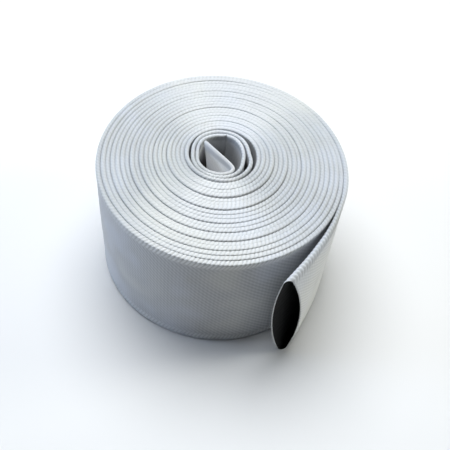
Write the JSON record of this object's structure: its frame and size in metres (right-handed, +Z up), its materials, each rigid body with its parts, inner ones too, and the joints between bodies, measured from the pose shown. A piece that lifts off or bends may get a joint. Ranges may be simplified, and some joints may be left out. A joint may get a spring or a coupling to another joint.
{
  "type": "rolled fire hose",
  "caption": "Lay-flat fire hose wound flat into a roll: woven jacket over a rubber liner, outer end standing off the roll with its mouth half open.",
  "frame": {"origin": "on the roll's axis, in the plane of the folded edges that it rests on", "axes": "+Z up along the roll's axis; the mouth of the free end faces -Y"},
  "size_m": [0.1858, 0.1911, 0.105],
  "materials": {
    "jacket": "circular-woven polyester, white, matt",
    "liner": "smooth black rubber, matt"
  },
  "bodies": {
    "roll": {"jacket_roll": "jacket", "liner_roll": "liner"},
    "tail": {"jacket_tail": "jacket", "liner_tail": "liner"}
  },
  "joints": [
    {"name": "tail_swing", "type": "hinge", "parent": "roll", "child": "tail", "pos_m": [0.09024, -0.0225, 0.0525], "axis": [0, 0, 1], "range_deg": [-5, 60]}
  ]
}
